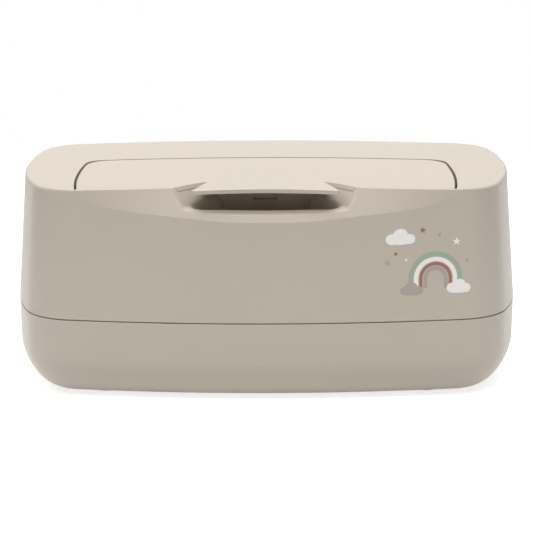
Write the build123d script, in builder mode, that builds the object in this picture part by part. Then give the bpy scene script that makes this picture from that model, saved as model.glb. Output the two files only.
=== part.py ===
"""Wipes box: tray, drafted cover with a flush flip lid and finger scoop, seals, hinge pins, press plate."""
from build123d import *
from math import atan2, cos, degrees, hypot, radians, sin, sqrt, tan
import os

# Plan outline at the seam, where the box is widest.
length = 238.0            # end to end, along X
depth = 130.0             # front to back, along Y
long_side_radius = 544.0  # bow of the front and back walls
end_radius = 133.0        # bow of the two ends
corner_radius = 26.4      # plan rounding between them

# Heights above the surface that the box stands on.
foot_proud = 0.8          # how far the pads stand out of the tray
tray_height = 38.6        # tray underside to the middle of the seam
cover_height = 61.5       # middle of the seam to the flat top
seam_gap = 0.5            # open line between tray and cover
seam_z = foot_proud + tray_height
top_z = seam_z + cover_height

# Walls.
wall = 2.4
roof = 2.2                # flat top of the cover
tray_floor = 2.6
tray_draft = 1.6          # degrees
cover_draft = 3.54        # degrees
tray_rounding = 21.0      # outside edge of the tray's bottom
top_rounding = 1.5        # edge of the flat top

# Tongue and seal between tray and cover.
tongue_clearance = 0.3
tongue_thickness = 1.4
tongue_height = 4.5
ledge_depth = 5.0
ledge_root = 0.5          # how far the ledge reaches into the wall
seal_inset = 0.95
seal_width = 1.1
groove_depth = 1.0
groove_play = 0.05

# Slanted facet under the front edge of the flat top.
facet_drop = 13.7         # height of the facet at the middle
facet_end_angle = 29.3    # degrees round the corner where it runs out
facet_mid_run = 1.25      # horizontal run for each millimetre of drop, at the middle
facet_end_run = 0.15      # the same at the two ends
facet_stations = 13
facet_over = 6.0          # how far the cutter reaches past the surface
cut_over = 1.0            # how far other cuts run past an open face

# Lid and the well that it closes.
lid_thickness = 1.8
lid_gap = 1.1             # sides and back
lid_front_gap = 0.35
under_lid_play = 0.25
well_back_distance = 84.75     # from the box's front to the middle of the well's back edge
well_back_radius = 530.0
well_end_room = 28.95          # from the box's ends to the well, where it is widest
well_widest_distance = 34.0    # from the box's front
well_side_radius = 230.0
well_front_distance = 13.1     # front edge at its outer ends
well_front_inner_distance = 16.4
well_front_inner_x = 47.0
well_back_corner = 9.5
well_front_corner = 6.0
well_depth = 16.0
deck_thickness = 2.0
well_wall = 1.8
lid_back_corner = 12.5
lid_edge_rounding = 0.5
skirt_thickness = 1.5
skirt_height = 3.0
skirt_front_distance = 23.0
skirt_hinge_gap = 4.0

# Finger tab of the lid, with a notch on each side.
tab_root_x = 27.4
tab_corner_x = 34.8
tab_corner_distance = 8.6
tab_middle_distance = 12.7
tab_bury = 3.0            # how far its root runs back into the lid
tab_rounding = 0.6

# Scoop in front of the lid, which dips behind a soft lip into a pocket.
scoop_form_reach = 7.0    # how far its form runs out past the front
scoop_back_distance = 28.8
scoop_back_half_width = 27.8
scoop_flare = 1.62        # widening for each millimetre forward of its back
scoop_flare_ease = 0.0365  # how that widening eases, for each square millimetre
scoop_flare_run = 20.8    # it stays as wide from there on
scoop_floor_drop = 10.7
scoop_floor_bow = 0.8
scoop_shoulder_drop = 8.6
scoop_shoulder_lean = 7.4
scoop_shoulder_run = 8.0  # from its shoulder in to the edge of its floor
scoop_shoulder_rounding = 4.0
scoop_wall = 1.8
lip_distance = 12.0       # from the box's front to where the floor starts to dip
lip_run = 8.5
lip_steps = 8
scoop_front_steps = 3     # stations ahead of the lip
pocket_drop = 20.0
pocket_shoulder_drop = 7.4
pocket_shoulder_lean = 6.8
pocket_shoulder_run = 2.5
grip_rib_x = 19.5
grip_rib_width = 1.2
grip_rib_proud = 0.8
grip_rib_end_gap = 1.8    # from its ends to the pocket's floor and the flat top
catch_width = 11.0
catch_drop = 8.4
catch_thickness = 1.1
catch_play = 0.3
catch_slot_depth = 5.4

# Lid hinge: a short steel pin at each side, through the well's wall into the lid.
hinge_distance = 13.75    # from the well's back edge
hinge_drop = 2.4          # axis under the flat top
pin_diameter = 2.0
pin_play = 0.05           # radial, where the lid turns
pin_seat_play = 0.02      # radial, where the cover holds it
pin_reach_in = 4.65       # from the well's side, beside the hinge
pin_reach_out = 3.55
lid_boss_radius = 2.2
lid_boss_length = 3.8
lid_boss_gap = 1.85
cover_boss_radius = 3.0
cover_boss_length = 3.6
cover_boss_set_in = 0.95

# Dispensing opening in the deck, with a raised collar.
opening_distance = 51.0   # from the box's front
opening_length = 92.0
opening_depth = 24.0
collar_height = 8.0
collar_wall = 4.0
insert_play = 0.15
insert_wall = 1.4
insert_sink = 1.0         # its top under the collar's top
insert_flange = 2.5
insert_flange_thickness = 1.2
membrane_thickness = 1.2
slot_length = 64.0
slot_width = 6.0

# Carrier and seal under the lid.
panel_margin = 5.0        # past the opening, all round
panel_height = 4.0
panel_hollow_depth = 2.6
panel_hollow_margin = 2.0
lid_seal_offset = 0.8
lid_seal_width = 2.4
lid_seal_sink = 1.4

# Press plate with its two steel weights.
plate_end_room = 29.0     # from the box's ends
plate_side_room = 29.0
plate_corner = 16.0
plate_base = 2.0
plate_wall = 1.6
plate_cap_thickness = 1.6
plate_window_length = 98.0
plate_window_depth = 34.0
weight_side_room = 6.4
weight_inner_play = 0.4
weight_outer_play = 3.4
weight_thickness = 3.0
cap_play = 0.15

# Non-slip pads.
pad_diameter = 12.0
pad_sink = 1.2
pad_end_room = 43.0       # from the box's ends
pad_side_room = 32.0

# Worked out from the sizes above.
deck_z = top_z - well_depth
hinge_z = top_z - hinge_drop
collar_z = deck_z + collar_height
lid_under_z = top_z - lid_thickness
panel_z = lid_under_z - panel_height
cover_bottom = seam_z + seam_gap / 2
tray_top = seam_z - seam_gap / 2
inner_floor_z = foot_proud + tray_floor
front_y = -depth / 2
well_half_width = length / 2 - well_end_room
well_back_y = front_y + well_back_distance
well_widest_y = front_y + well_widest_distance
well_front_y = front_y + well_front_distance
well_front_inner_y = front_y + well_front_inner_distance
hinge_y = well_back_y - hinge_distance
well_side_x = well_half_width - well_side_radius + sqrt(well_side_radius**2 - (hinge_y - well_widest_y) ** 2)
pin_inner_x = well_side_x - pin_reach_in
pin_outer_x = well_side_x + pin_reach_out
lid_boss_outer_x = well_side_x - lid_boss_gap
lid_boss_inner_x = lid_boss_outer_x - lid_boss_length
cover_boss_inner_x = well_side_x + cover_boss_set_in
cover_boss_outer_x = cover_boss_inner_x + cover_boss_length
skirt_front_y = front_y + skirt_front_distance
skirt_back_y = hinge_y - skirt_hinge_gap
scoop_form_y = front_y - scoop_form_reach
scoop_back_y = front_y + scoop_back_distance
lip_y = front_y + lip_distance
tab_corner_y = front_y + tab_corner_distance
tab_middle_y = front_y + tab_middle_distance
opening_y = front_y + opening_distance
plate_length = length - 2 * plate_end_room
plate_depth = depth - 2 * plate_side_room
weight_inner_x = plate_window_length / 2 + plate_wall + weight_inner_play
weight_outer_x = plate_length / 2 - plate_wall - weight_outer_play
weight_x = (weight_inner_x + weight_outer_x) / 2
weight_length = weight_outer_x - weight_inner_x
weight_depth = plate_depth - 2 * (plate_wall + weight_side_room)
pad_x = length / 2 - pad_end_room
pad_y = depth / 2 - pad_side_room


def circle_meeting(centre_a, radius_a, centre_b, radius_b):
    """Point where two circles in plan cross, on the side of larger X."""
    across = Vector(centre_b) - Vector(centre_a)
    span = across.length
    along = (radius_a**2 - radius_b**2 + span**2) / (2 * span)
    aside = sqrt(radius_a**2 - along**2)
    unit = across / span
    square = Vector(-unit.Y, unit.X)
    meetings = [Vector(centre_a) + unit * along + square * way * aside for way in (1, -1)]
    return max(meetings, key=lambda point: point.X)


long_centre_y = long_side_radius - depth / 2
end_centre_x = length / 2 - end_radius
corner_reach_long = long_side_radius - corner_radius
corner_reach_end = end_radius - corner_radius
corner = circle_meeting((0, long_centre_y), corner_reach_long, (end_centre_x, 0), corner_reach_end)
long_angle = degrees(atan2(corner.X, long_centre_y - corner.Y))
end_angle = degrees(atan2(-corner.Y, corner.X - end_centre_x))
top_inset = (top_z - cover_bottom) * tan(radians(cover_draft))
facet_reach = corner.X + (corner_radius - top_inset) * cos(radians(facet_end_angle))


def plan_outline(inset):
    """The box's plan as eight tangent arcs, all set in by the same distance."""
    for way in (1, -1):
        heading = 90 * way
        start = heading - long_angle
        CenterArc((0, -way * long_centre_y), long_side_radius - inset, start, 2 * long_angle)
    for way, heading in ((1, 0), (-1, 180)):
        CenterArc((way * end_centre_x, 0), end_radius - inset, heading - end_angle, 2 * end_angle)
    turn = 90 - long_angle - end_angle
    starts = ((1, 1, -90 + long_angle), (1, -1, end_angle), (-1, -1, 90 + long_angle), (-1, 1, 180 + end_angle))
    for x_way, y_way, start in starts:
        CenterArc((x_way * corner.X, y_way * corner.Y), corner_radius - inset, start, turn)


def wall_y(x, z):
    """Depth of the cover's front surface at a place across and a height."""
    inset = (z - cover_bottom) * tan(radians(cover_draft))
    if abs(x) < corner.X + (corner_radius - inset) * sin(radians(long_angle)):
        return long_centre_y - sqrt((long_side_radius - inset) ** 2 - x**2)
    return corner.Y - sqrt((corner_radius - inset) ** 2 - (abs(x) - corner.X) ** 2)


def ring(inner_inset, outer_inset, low, high, taper):
    """A rim that follows the plan between two insets, from one height to another."""
    with BuildPart() as rim:
        with BuildSketch(Plane.XY.offset(low)):
            with BuildLine():
                plan_outline(outer_inset)
            make_face()
        extrude(amount=high - low, taper=taper)
        with BuildSketch(Plane.XY.offset(low)):
            with BuildLine():
                plan_outline(inner_inset)
            make_face()
        extrude(amount=high - low, taper=taper, mode=Mode.SUBTRACT)
    return rim.part


# Tray: drafted tub with a ledge, a tongue for the cover and a seal groove.
rim_down = Plane(origin=(0, 0, tray_top), x_dir=(1, 0, 0), z_dir=(0, 0, -1))


def tub(inset, bottom_z, rounding):
    """Drafted tub shape under the seam, set in by a distance, with a rounded bottom edge."""
    with BuildPart() as form:
        with BuildSketch(rim_down):
            with BuildLine():
                plan_outline(inset)
            make_face()
        extrude(amount=tray_top - bottom_z, taper=tray_draft)
        fillet(form.faces().sort_by(Axis.Z)[0].edges(), rounding)
    return form.part


with BuildPart() as base_tray:
    add(tub(0, foot_proud, tray_rounding))
    add(tub(wall, inner_floor_z, tray_rounding - wall), mode=Mode.SUBTRACT)
    tongue_inset = wall + tongue_clearance
    add(ring(tongue_inset + tongue_thickness, wall - ledge_root, tray_top - ledge_depth, tray_top, 0))
    add(ring(tongue_inset + tongue_thickness, tongue_inset, tray_top, tray_top + tongue_height, cover_draft))
    groove = ring(
        seal_inset + seal_width + groove_play, seal_inset - groove_play, tray_top - groove_depth, tray_top, 0
    )
    add(groove, mode=Mode.SUBTRACT)
    with BuildSketch(Plane.XY.offset(foot_proud)):
        with GridLocations(2 * pad_x, 2 * pad_y, 2, 2):
            Circle(pad_diameter / 2 + groove_play)
    extrude(amount=pad_sink, mode=Mode.SUBTRACT)
base_tray.part.label = "base_tray"

# Tray seal: a silicone ring in the groove, under the cover's edge.
tray_seal_part = ring(seal_inset + seal_width, seal_inset, tray_top - groove_depth, cover_bottom, 0)
tray_seal_part.label = "tray_seal"

# Four non-slip pads pressed into the tray's underside.
with BuildPart() as foot_pads:
    with BuildSketch(Plane.XY):
        with GridLocations(2 * pad_x, 2 * pad_y, 2, 2):
            Circle(pad_diameter / 2)
    extrude(amount=foot_proud + pad_sink)
    fillet(foot_pads.faces().group_by(Axis.Z)[0].edges(), foot_proud / 2)
foot_pads.part.label = "foot_pads"


def facet_drop_at(x):
    """Height of the facet under the flat top, at a place across."""
    return facet_drop * (1 - (x / facet_reach) ** 2)


def facet_cutter(set_back):
    """Solid whose back face is the slanted facet, moved into the wall by a distance."""
    with BuildPart() as cutter:
        for station in range(facet_stations):
            x = -facet_reach * cos(radians(180 * station / (facet_stations - 1)))
            drop = facet_drop_at(x)
            share = (1 - (x / facet_reach) ** 2) ** 2
            run = facet_end_run + (facet_mid_run - facet_end_run) * share
            crease_y = wall_y(x, top_z - drop) + set_back * sqrt(1 + run**2)
            low = (crease_y - run * facet_over, top_z - drop - facet_over)
            high = (crease_y + run * (drop + facet_over), top_z + facet_over)
            outside_y = -depth / 2 - facet_over - run * facet_over
            with BuildSketch(Plane.YZ.offset(x)):
                with BuildLine():
                    Polyline(low, high, (outside_y, high[1]), (outside_y, low[1]), close=True)
                make_face()
        loft()
    return cutter.part


def well_outline(side_set_in, front_set_in):
    """Right and left corners of the well's plan, set in from its sides and its front."""
    back_radius = well_back_radius - side_set_in
    side_radius = well_side_radius - side_set_in
    back_centre = (0, well_back_y - well_back_radius)
    side_centre = (well_half_width - well_side_radius, well_widest_y)
    back_corner = circle_meeting(back_centre, back_radius, side_centre, side_radius)
    front_y = well_front_y + front_set_in
    front_x = side_centre[0] + sqrt(side_radius**2 - (front_y - well_widest_y) ** 2)
    inner_y = well_front_inner_y + front_set_in
    back_left = (-back_corner.X, back_corner.Y)
    ThreePointArc(back_left, (0, well_back_y - side_set_in), (back_corner.X, back_corner.Y))
    for way in (1, -1):
        widest = (way * (well_half_width - side_set_in), well_widest_y)
        ThreePointArc((way * back_corner.X, back_corner.Y), widest, (way * front_x, front_y))
        Line((way * front_x, front_y), (way * well_front_inner_x, inner_y))
    return inner_y


def round_outline(face, back_radius, front_radius):
    """Rounds the two back and the two outer front corners of a well or lid outline."""
    far_out = (well_front_inner_x + well_half_width) / 2
    by_side = face.vertices().filter_by(lambda corner_point: abs(corner_point.X) > far_out)
    fillet(by_side.filter_by(lambda corner_point: corner_point.Y > 0), back_radius)
    fillet(by_side.filter_by(lambda corner_point: corner_point.Y < 0), front_radius)


def well_block(set_in, low, high):
    """Upright block with the well's plan."""
    with BuildPart() as block:
        with BuildSketch(Plane.XY.offset(low)) as face:
            with BuildLine():
                inner_y = well_outline(set_in, set_in)
                Line((-well_front_inner_x, inner_y), (well_front_inner_x, inner_y))
            make_face()
            round_outline(face, well_back_corner - set_in, well_front_corner - set_in)
        extrude(amount=high - low)
    return block.part


def scoop_half_width(y):
    """Half the scoop's width at the level of the flat top."""
    forward = min(scoop_back_y - y, scoop_flare_run)
    return scoop_back_half_width + scoop_flare * forward - scoop_flare_ease * forward**2


def scoop_form(grow, over):
    """Trough with a bowed floor that dips behind its lip, wider by a wall where asked."""
    ahead = (lip_y - scoop_form_y) / scoop_front_steps
    before_lip = [scoop_form_y + ahead * step for step in range(scoop_front_steps)]
    through_lip = [lip_y + lip_run * step / lip_steps for step in range(lip_steps + 1)]
    behind_lip = [(lip_y + lip_run + scoop_back_y) / 2, scoop_back_y]
    with BuildPart() as trough:
        for y in before_lip + through_lip + behind_lip:
            share = min(max((y - lip_y) / lip_run, 0), 1)
            dip = share**2 * (3 - 2 * share)
            floor_z = top_z - scoop_floor_drop - (pocket_drop - scoop_floor_drop) * dip - grow
            shoulder_drop = scoop_shoulder_drop + (pocket_shoulder_drop - scoop_shoulder_drop) * dip
            lean = scoop_shoulder_lean + (pocket_shoulder_lean - scoop_shoulder_lean) * dip
            run = scoop_shoulder_run + (pocket_shoulder_run - scoop_shoulder_run) * dip
            shoulder_x = scoop_half_width(y) - lean + grow
            mouth = (shoulder_x + lean + lean / shoulder_drop * over, top_z + over)
            shoulder = (shoulder_x, top_z - shoulder_drop)
            foot = (shoulder_x - run, floor_z + scoop_floor_bow)
            back_step = grow if y == scoop_back_y else 0
            with BuildSketch(Plane.XZ.offset(-y - back_step)) as section:
                with BuildLine():
                    corners = [foot, shoulder, mouth]
                    mirrored = [(-x, z) for x, z in reversed(corners)]
                    Polyline(*corners, *mirrored)
                    ThreePointArc(mirrored[-1], (0, floor_z), foot)
                make_face()
                fillet(section.vertices().sort_by(Axis.Y)[2:4], scoop_shoulder_rounding)
        loft(ruled=True)
    return trough.part


def cover_form(inset, high):
    """Drafted cover shape above the seam, set in by a distance."""
    with BuildPart() as form:
        with BuildSketch(Plane.XY.offset(cover_bottom)):
            with BuildLine():
                plan_outline(inset)
            make_face()
        extrude(amount=high - cover_bottom, taper=cover_draft)
    return form.part


# Cover: drafted shell with the slanted facet, the well, the deck and the scoop.
under_lid_z = lid_under_z - under_lid_play
with BuildPart() as outer_form:
    add(cover_form(0, top_z))
    fillet(outer_form.faces().sort_by(Axis.Z)[-1].edges(), top_rounding)
    add(facet_cutter(0), mode=Mode.SUBTRACT)

with BuildPart() as scoop_shell:
    add(scoop_form(scoop_wall, 0))
    add(outer_form.part, mode=Mode.INTERSECT)

with BuildPart() as hollow_form:
    add(cover_form(wall, top_z - roof))
    add(facet_cutter(wall), mode=Mode.SUBTRACT)
    add(well_block(-well_wall, deck_z - deck_thickness, top_z), mode=Mode.SUBTRACT)

with BuildPart() as top_cover:
    add(outer_form.part)
    add(hollow_form.part, mode=Mode.SUBTRACT)
    add(well_block(0, deck_z, top_z + cut_over), mode=Mode.SUBTRACT)
    add(scoop_shell.part)
    add(well_block(0, under_lid_z, top_z + cut_over), mode=Mode.SUBTRACT)
    add(scoop_form(0, facet_over), mode=Mode.SUBTRACT)
    with BuildSketch(Plane.XY.offset(deck_z)):
        with Locations((0, opening_y)):
            SlotOverall(opening_length + 2 * collar_wall, opening_depth + 2 * collar_wall)
    extrude(amount=collar_height)
    with BuildSketch(Plane.XY.offset(deck_z - deck_thickness)):
        with Locations((0, opening_y)):
            SlotOverall(opening_length, opening_depth)
    extrude(amount=deck_thickness + collar_height, mode=Mode.SUBTRACT)
    for way in (1, -1):
        with BuildSketch(Plane.YZ.offset(way * cover_boss_inner_x)):
            with Locations((hinge_y, hinge_z)):
                Circle(cover_boss_radius)
        extrude(amount=way * (cover_boss_outer_x - cover_boss_inner_x))
        with BuildSketch(Plane.YZ.offset(way * pin_inner_x)):
            with Locations((hinge_y, hinge_z)):
                Circle(pin_diameter / 2 + pin_seat_play)
        extrude(amount=way * (pin_outer_x - pin_inner_x), mode=Mode.SUBTRACT)
        with Locations((way * grip_rib_x, scoop_back_y, top_z - pocket_drop / 2)):
            Box(grip_rib_width, 2 * grip_rib_proud, pocket_drop - 2 * grip_rib_end_gap)
    with Locations((0, scoop_back_y + scoop_wall / 2, top_z - catch_drop)):
        hang_up = (Align.CENTER, Align.CENTER, Align.MIN)
        Box(catch_width, catch_slot_depth, catch_drop, align=hang_up, mode=Mode.SUBTRACT)
    add(cover_form(-cut_over, top_z), mode=Mode.INTERSECT)
top_cover.part.label = "top_cover"

# Slotted insert: a soft sleeve pushed up through the opening, with a flange under the deck.
insert_top = collar_z - insert_sink
insert_low = deck_z - deck_thickness
with BuildPart() as slot_insert:
    with BuildSketch(Plane.XY.offset(insert_low - insert_flange_thickness)):
        with Locations((0, opening_y)):
            SlotOverall(opening_length + 2 * insert_flange, opening_depth + 2 * insert_flange)
    extrude(amount=insert_flange_thickness)
    with BuildSketch(Plane.XY.offset(insert_low)):
        with Locations((0, opening_y)):
            SlotOverall(opening_length - 2 * insert_play, opening_depth - 2 * insert_play)
    extrude(amount=insert_top - insert_low)
    with BuildSketch(Plane.XY.offset(insert_low - insert_flange_thickness)):
        with Locations((0, opening_y)):
            sleeve_set_in = 2 * (insert_play + insert_wall)
            SlotOverall(opening_length - sleeve_set_in, opening_depth - sleeve_set_in)
    extrude(amount=insert_top - membrane_thickness - insert_low + insert_flange_thickness, mode=Mode.SUBTRACT)
    with BuildSketch(Plane.XY.offset(insert_top - membrane_thickness)):
        with Locations((0, opening_y)):
            SlotOverall(slot_length, slot_width)
    extrude(amount=membrane_thickness, mode=Mode.SUBTRACT)
slot_insert.part.label = "slot_insert"

# Lid: flush plate with a finger tab between two notches, side skirts, pin bosses and a catch tongue.
with BuildPart() as side_skirts:
    add(well_block(lid_gap, lid_under_z - skirt_height, lid_under_z))
    add(well_block(lid_gap + skirt_thickness, lid_under_z - skirt_height, lid_under_z), mode=Mode.SUBTRACT)
    with Locations((0, (skirt_front_y + skirt_back_y) / 2, lid_under_z)):
        Box(length, skirt_back_y - skirt_front_y, 3 * skirt_height, mode=Mode.INTERSECT)

with BuildPart() as tab:
    with BuildSketch(Plane.XY.offset(lid_under_z)) as tab_face:
        with BuildLine():
            left = (-tab_corner_x, tab_corner_y)
            right = (tab_corner_x, tab_corner_y)
            ThreePointArc(left, (0, tab_middle_y), right)
            root = (tab_root_x, scoop_back_y)
            Polyline(right, root, (tab_root_x, scoop_back_y + tab_bury))
            Polyline(left, (-root[0], root[1]), (-tab_root_x, scoop_back_y + tab_bury))
            Line((tab_root_x, scoop_back_y + tab_bury), (-tab_root_x, scoop_back_y + tab_bury))
        make_face()
        fillet(tab_face.vertices().group_by(Axis.Y)[0], tab_rounding)
    extrude(amount=lid_thickness)

with BuildPart() as lid:
    with BuildSketch(Plane.XY.offset(lid_under_z)) as lid_face:
        with BuildLine():
            inner_y = well_outline(lid_gap, lid_front_gap)
            Line((-well_front_inner_x, inner_y), (well_front_inner_x, inner_y))
        make_face()
        round_outline(lid_face, lid_back_corner, well_front_corner - lid_gap)
    extrude(amount=lid_thickness)
    fillet(lid.faces().sort_by(Axis.Z)[-1].edges(), lid_edge_rounding)
    add(scoop_form(0, facet_over), mode=Mode.SUBTRACT)
    add(tab.part)
    add(side_skirts.part)
    for way in (1, -1):
        with BuildSketch(Plane.YZ.offset(way * lid_boss_inner_x)):
            with Locations((hinge_y, hinge_z)):
                Circle(lid_boss_radius)
        extrude(amount=way * (lid_boss_outer_x - lid_boss_inner_x))
        with BuildSketch(Plane.YZ.offset(way * (pin_inner_x - pin_play))):
            with Locations((hinge_y, hinge_z)):
                Circle(pin_diameter / 2 + pin_play)
        extrude(amount=way * (pin_outer_x - pin_inner_x), mode=Mode.SUBTRACT)
    with Locations((0, scoop_back_y + scoop_wall / 2, lid_under_z)):
        Box(catch_width - 2 * catch_play, catch_thickness, catch_drop - lid_thickness - catch_play,
            align=(Align.CENTER, Align.CENTER, Align.MAX))
lid.part.label = "lid"

# Seal carrier on the lid's underside.
with BuildPart() as lid_panel:
    with BuildSketch(Plane.XY.offset(panel_z)):
        with Locations((0, opening_y)):
            SlotOverall(opening_length + 2 * panel_margin, opening_depth + 2 * panel_margin)
    extrude(amount=panel_height)
    with BuildSketch(Plane.XY.offset(panel_z)):
        with Locations((0, opening_y)):
            SlotOverall(opening_length - 2 * panel_hollow_margin, opening_depth - 2 * panel_hollow_margin)
    extrude(amount=panel_hollow_depth, mode=Mode.SUBTRACT)
    with BuildSketch(Plane.XY.offset(panel_z)):
        with Locations((0, opening_y)):
            seal_reach = lid_seal_offset + lid_seal_width + groove_play
            SlotOverall(opening_length + 2 * seal_reach, opening_depth + 2 * seal_reach)
            seal_start = lid_seal_offset - groove_play
            SlotOverall(opening_length + 2 * seal_start, opening_depth + 2 * seal_start, mode=Mode.SUBTRACT)
    extrude(amount=lid_seal_sink, mode=Mode.SUBTRACT)
lid_panel.part.label = "lid_panel"

# Silicone seal between the carrier and the collar.
with BuildPart() as lid_seal:
    with BuildSketch(Plane.XY.offset(collar_z)):
        with Locations((0, opening_y)):
            seal_reach = lid_seal_offset + lid_seal_width
            SlotOverall(opening_length + 2 * seal_reach, opening_depth + 2 * seal_reach)
            seal_start = lid_seal_offset
            SlotOverall(opening_length + 2 * seal_start, opening_depth + 2 * seal_start, mode=Mode.SUBTRACT)
    extrude(amount=panel_z + lid_seal_sink - collar_z)
lid_seal.part.label = "lid_seal"


def hinge_pin(way):
    """Steel pin at one side of the lid."""
    with BuildPart() as pin:
        with BuildSketch(Plane.YZ.offset(way * pin_inner_x)):
            with Locations((hinge_y, hinge_z)):
                Circle(pin_diameter / 2)
        extrude(amount=way * (pin_outer_x - pin_inner_x))
    return pin.part


hinge_pin_right = hinge_pin(1)
hinge_pin_right.label = "hinge_pin_right"
hinge_pin_left = hinge_pin(-1)
hinge_pin_left.label = "hinge_pin_left"

# Press plate: a flat tub with a window, two steel weights and a cap over them.
rim_height = plate_base + weight_thickness + plate_cap_thickness
with BuildPart() as press_plate:
    with BuildSketch(Plane.XY.offset(inner_floor_z)):
        RectangleRounded(plate_length, plate_depth, plate_corner)
    extrude(amount=rim_height)
    with BuildSketch(Plane.XY.offset(inner_floor_z + plate_base)):
        walls = 2 * plate_wall
        RectangleRounded(plate_length - walls, plate_depth - walls, plate_corner - plate_wall)
        SlotOverall(plate_window_length + walls, plate_window_depth + walls, mode=Mode.SUBTRACT)
    extrude(amount=rim_height - plate_base, mode=Mode.SUBTRACT)
    with BuildSketch(Plane.XY.offset(inner_floor_z)):
        SlotOverall(plate_window_length, plate_window_depth)
    extrude(amount=rim_height, mode=Mode.SUBTRACT)
press_plate.part.label = "press_plate"

with BuildPart() as plate_weights:
    with BuildSketch(Plane.XY.offset(inner_floor_z + plate_base)):
        with GridLocations(2 * weight_x, 0, 2, 1):
            Rectangle(weight_length, weight_depth)
    extrude(amount=weight_thickness)
plate_weights.part.label = "plate_weights"

with BuildPart() as plate_cap:
    with BuildSketch(Plane.XY.offset(inner_floor_z + plate_base + weight_thickness)):
        cap_set_in = 2 * (plate_wall + cap_play)
        cap_corner = plate_corner - plate_wall - cap_play
        RectangleRounded(plate_length - cap_set_in, plate_depth - cap_set_in, cap_corner)
        SlotOverall(plate_window_length + cap_set_in, plate_window_depth + cap_set_in, mode=Mode.SUBTRACT)
    extrude(amount=plate_cap_thickness)
plate_cap.part.label = "plate_cap"

os.makedirs("parts", exist_ok=True)
tray_pieces = (base_tray.part, tray_seal_part, foot_pads.part)
cover_pieces = (top_cover.part, slot_insert.part, hinge_pin_right, hinge_pin_left)
lid_pieces = (lid.part, lid_panel.part, lid_seal.part)
plate_pieces = (press_plate.part, plate_weights.part, plate_cap.part)
for piece in tray_pieces + cover_pieces + lid_pieces + plate_pieces:
    export_step(piece, "parts/" + piece.label + ".step")
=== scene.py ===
"""Baby wipes box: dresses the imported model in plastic, silicone, rubber, steel and a printed picture."""
import logging
import math
from dataclasses import dataclass, field
from enum import Enum

import bmesh
import bpy
from mathutils import Matrix, Vector


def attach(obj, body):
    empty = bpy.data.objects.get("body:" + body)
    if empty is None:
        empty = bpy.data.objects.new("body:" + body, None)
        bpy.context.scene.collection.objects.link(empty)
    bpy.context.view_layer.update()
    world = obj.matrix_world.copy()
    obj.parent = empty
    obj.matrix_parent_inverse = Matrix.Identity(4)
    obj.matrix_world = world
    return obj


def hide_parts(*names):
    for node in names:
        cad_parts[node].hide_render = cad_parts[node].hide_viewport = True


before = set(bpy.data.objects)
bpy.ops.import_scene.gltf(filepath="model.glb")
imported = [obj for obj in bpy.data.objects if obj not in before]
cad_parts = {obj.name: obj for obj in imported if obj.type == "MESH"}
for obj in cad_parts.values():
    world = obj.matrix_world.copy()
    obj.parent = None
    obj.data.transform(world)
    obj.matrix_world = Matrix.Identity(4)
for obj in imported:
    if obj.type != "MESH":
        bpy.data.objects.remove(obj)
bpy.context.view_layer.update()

logging.basicConfig(level=logging.INFO, format="%(message)s")
log = logging.getLogger("wipes_box")

MM = 0.001

Colour = tuple[float, float, float, float]
Triple = tuple[float, float, float]
WHITE: Colour = (1.0, 1.0, 1.0, 1.0)
WEAR_MARK = "edge_wear"  # number on each face of a rounded piece: how worn it is


class Body(Enum):
    """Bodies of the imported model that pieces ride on."""

    TRAY = "tray"
    COVER = "cover"
    LID = "flip_lid"


# ---- node groups and materials


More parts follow.
